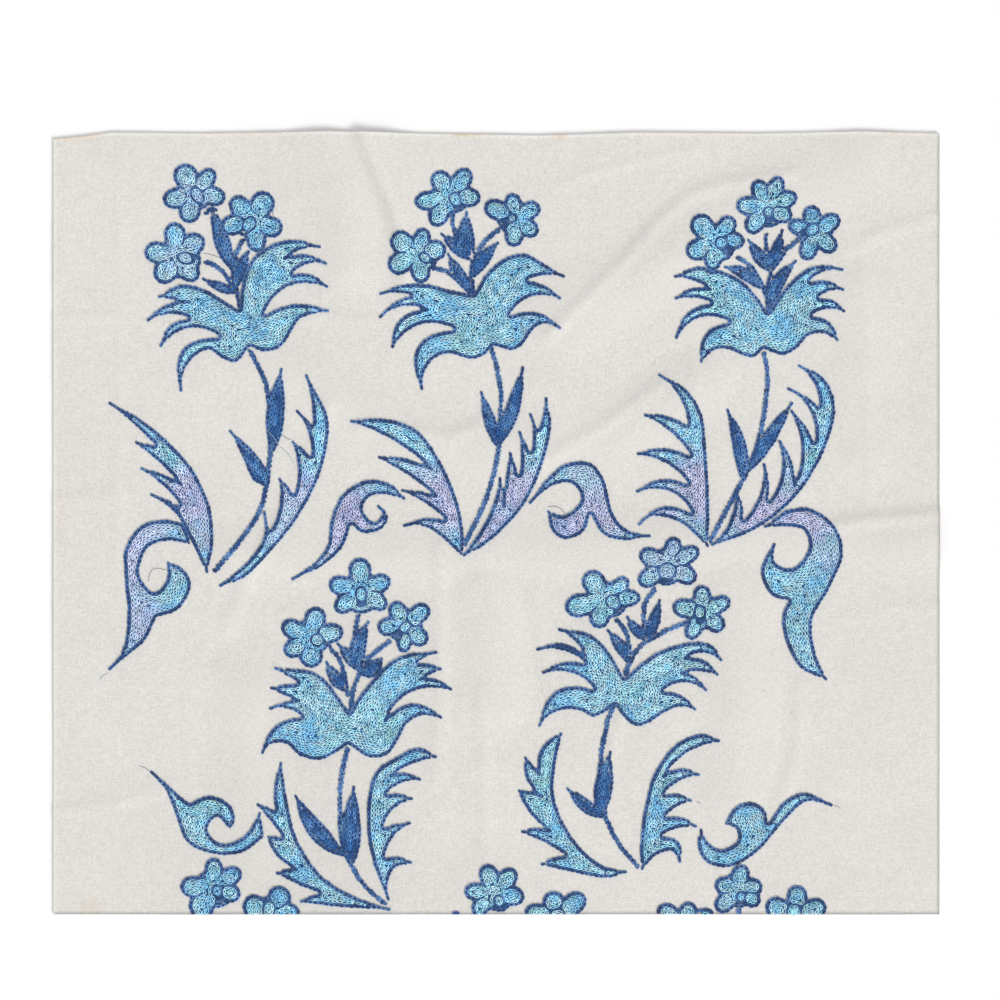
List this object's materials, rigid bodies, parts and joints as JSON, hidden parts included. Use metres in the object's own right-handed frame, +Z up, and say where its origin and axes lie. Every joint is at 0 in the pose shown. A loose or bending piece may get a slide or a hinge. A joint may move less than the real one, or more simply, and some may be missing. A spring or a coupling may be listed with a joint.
{
  "type": "suzani embroidered cloth",
  "caption": "Cut length of cotton cloth lying face up in soft folds, with flower sprays, winged cups, barbed leaves and scrolls raised in chain stitch.",
  "frame": {"origin": "under the middle of the sheet, at its lowest level", "axes": "+X to the right along the longer side, +Y towards the cloth's own top edge, +Z up out of the embroidered face"},
  "size_m": [0.532, 0.4699, 0.0055],
  "materials": {
    "cotton_ground": "plain-woven off-white cotton, matte, a little slubby",
    "navy_thread": "navy and royal blue thread, soft sheen, chain stitch",
    "aqua_thread": "light blue and aqua thread, soft sheen, chain stitch",
    "lavender_thread": "light blue thread turning to pale lavender, soft sheen, chain stitch"
  },
  "bodies": {
    "root": {"cloth": "cotton_ground", "edge_bud": "navy_thread", "edge_flower_1": "aqua_thread", "edge_flower_2": "aqua_thread", "edge_flower_3": "aqua_thread", "edge_flower_4": "aqua_thread", "edge_flower_5": "aqua_thread", "edge_flower_6": "aqua_thread", "edge_flower_7": "aqua_thread", "edge_stem": "navy_thread", "spray1_cup": "aqua_thread", "spray1_flower_left": "aqua_thread", "spray1_flower_right": "aqua_thread", "spray1_flower_top": "aqua_thread", "spray1_leaf_left": "lavender_thread", "spray1_leaf_right": "lavender_thread", "spray1_scroll_left": "lavender_thread", "spray1_stem": "navy_thread", "spray1_twigs": "navy_thread", "spray2_cup": "aqua_thread", "spray2_flower_left": "aqua_thread", "spray2_flower_right": "aqua_thread", "spray2_flower_top": "aqua_thread", "spray2_leaf_left": "lavender_thread", "spray2_leaf_right": "lavender_thread", "spray2_scroll_left": "lavender_thread", "spray2_scroll_right": "lavender_thread", "spray2_stem": "navy_thread", "spray2_twigs": "navy_thread", "spray3_cup": "aqua_thread", "spray3_flower_left": "aqua_thread", "spray3_flower_right": "aqua_thread", "spray3_flower_top": "aqua_thread", "spray3_leaf_left": "lavender_thread", "spray3_leaf_right": "lavender_thread", "spray3_scroll_right": "lavender_thread", "spray3_stem": "navy_thread", "spray3_twigs": "navy_thread", "spray4_cup": "aqua_thread", "spray4_flower_left": "aqua_thread", "spray4_flower_right": "aqua_thread", "spray4_flower_top": "aqua_thread", "spray4_leaf_left": "aqua_thread", "spray4_leaf_right": "aqua_thread", "spray4_scroll_left": "aqua_thread", "spray4_stem": "navy_thread", "spray4_twigs": "navy_thread", "spray5_cup": "aqua_thread", "spray5_flower_left": "aqua_thread", "spray5_flower_right": "aqua_thread", "spray5_flower_top": "aqua_thread", "spray5_leaf_left": "aqua_thread", "spray5_leaf_right": "aqua_thread", "spray5_scroll_right": "aqua_thread", "spray5_stem": "navy_thread", "spray5_twigs": "navy_thread"}
  },
  "joints": []
}
